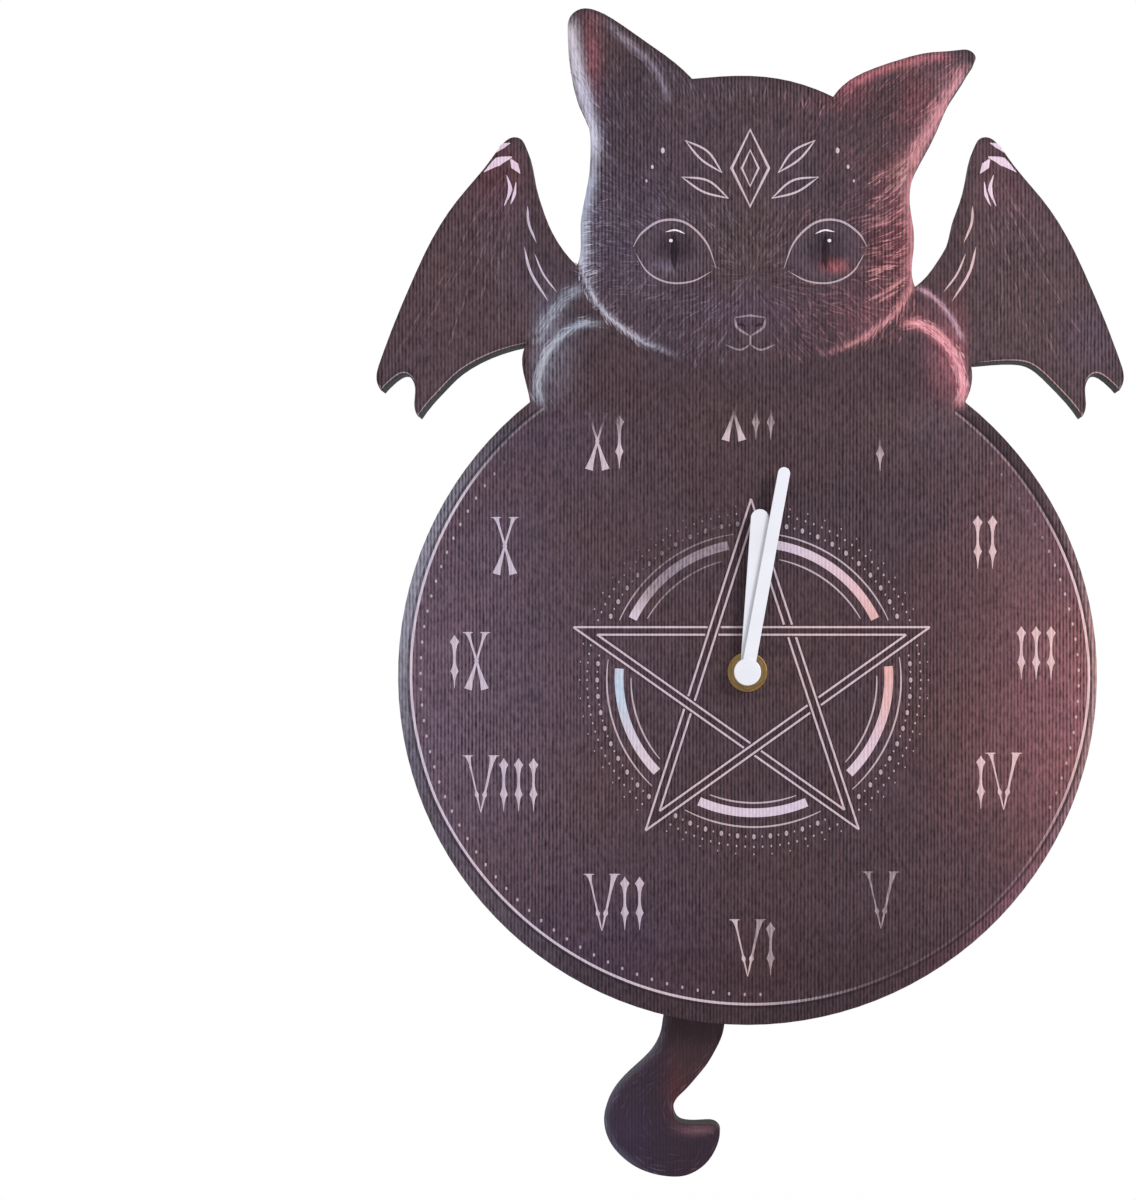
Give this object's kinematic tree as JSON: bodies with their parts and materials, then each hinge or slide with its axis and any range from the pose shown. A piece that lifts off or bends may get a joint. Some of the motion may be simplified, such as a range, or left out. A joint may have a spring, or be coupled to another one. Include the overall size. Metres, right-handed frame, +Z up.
{
  "type": "wall clock",
  "caption": "Wall clock with a round dial, a winged cat's outline above it and a tail that swings below it as a pendulum, with its quartz movement inside.",
  "frame": {"origin": "centre of the hanger's nail hole, in the middle of its sheet, 0.6 mm from the wall", "axes": "+X to the reader's right, +Y towards the wall (the dial faces -Y), +Z up"},
  "size_m": [0.2566, 0.035, 0.4041],
  "materials": {
    "painted_board": "satin",
    "printed_canvas": "matte",
    "bright_steel": "satin",
    "white_plastic": "gloss",
    "black_plastic": "matte",
    "magnet": "satin",
    "copper_wire": "gloss",
    "brass": "polished",
    "black_rubber": "matte",
    "white_paint": "satin",
    "circuit_board": "satin",
    "black_resin": "gloss",
    "battery_wrap": "gloss",
    "plated_contact": "satin"
  },
  "bodies": {
    "root": {"front_board": "painted_board", "face_sheet": "printed_canvas", "hanger_plate": "bright_steel", "movement_case": "black_plastic", "back_cover": "black_plastic", "train_plate": "white_plastic", "threaded_bushing": "brass", "rubber_gasket": "black_rubber", "brass_washer": "brass", "hex_nut": "brass", "stator": "bright_steel", "motor_bobbin": "white_plastic", "motor_winding": "copper_wire", "circuit_board": "circuit_board", "quartz_crystal": "bright_steel", "chip_cover": "black_resin", "battery": "battery_wrap", "positive_contact": "plated_contact", "negative_contact": "plated_contact", "pendulum_pin": "bright_steel", "pendulum_bobbin": "white_plastic", "pendulum_winding": "copper_wire"},
    "minute": {"minute_hand": "white_paint", "minute_arbor": "brass"},
    "hour": {"hour_hand": "white_paint", "hour_wheel": "white_plastic"},
    "motion": {"motion_wheel": "white_plastic", "setting_knob": "black_plastic"},
    "centre": {"centre_wheel": "white_plastic"},
    "third": {"third_wheel": "white_plastic"},
    "fourth": {"fourth_wheel": "white_plastic"},
    "fifth": {"fifth_wheel": "white_plastic"},
    "rotor": {"rotor_pinion": "white_plastic", "rotor_magnet": "magnet"},
    "tail": {"tail_board": "painted_board", "tail_sheet": "printed_canvas", "tail_strap": "bright_steel", "tail_screws": "bright_steel", "pendulum_arm": "white_plastic", "pendulum_magnet": "magnet"}
  },
  "joints": [
    {"name": "minute_turn", "type": "hinge", "parent": "root", "child": "minute", "pos_m": [0, 0, -0.037], "axis": [0, 1, 0], "continuous": true},
    {"name": "hour_turn", "type": "hinge", "parent": "root", "child": "hour", "pos_m": [0, 0, -0.037], "axis": [0, 1, 0], "continuous": true},
    {"name": "motion_turn", "type": "hinge", "parent": "root", "child": "motion", "pos_m": [0.01128, 0, -0.0411], "axis": [0, 1, 0], "continuous": true},
    {"name": "fifth_turn", "type": "hinge", "parent": "root", "child": "fifth", "pos_m": [-0.00106, 0, -0.02043], "axis": [0, 1, 0], "continuous": true},
    {"name": "rotor_turn", "type": "hinge", "parent": "root", "child": "rotor", "pos_m": [0.00492, 0, -0.02095], "axis": [0, 1, 0], "continuous": true},
    {"name": "fourth_turn", "type": "hinge", "parent": "root", "child": "fourth", "pos_m": [-0.00764, 0, -0.02282], "axis": [0, 1, 0], "continuous": true},
    {"name": "third_turn", "type": "hinge", "parent": "root", "child": "third", "pos_m": [-0.0092, 0, -0.03169], "axis": [0, 1, 0], "continuous": true},
    {"name": "centre_turn", "type": "hinge", "parent": "root", "child": "centre", "pos_m": [0, 0, -0.037], "axis": [0, 1, 0], "continuous": true},
    {"name": "tail_swing", "type": "hinge", "parent": "root", "child": "tail", "pos_m": [0, 0, -0.0722], "axis": [0, -1, 0], "range_deg": [-2, 26.8]}
  ],
  "couplings": [
    {"joint": "hour_turn", "follows": "minute_turn", "ratio": 0.083333},
    {"joint": "motion_turn", "follows": "minute_turn", "ratio": -0.33333},
    {"joint": "rotor_turn", "follows": "fifth_turn", "ratio": -5},
    {"joint": "fourth_turn", "follows": "fifth_turn", "ratio": -0.16667},
    {"joint": "third_turn", "follows": "fifth_turn", "ratio": 0.020833},
    {"joint": "centre_turn", "follows": "fifth_turn", "ratio": -0.0027778}
  ]
}
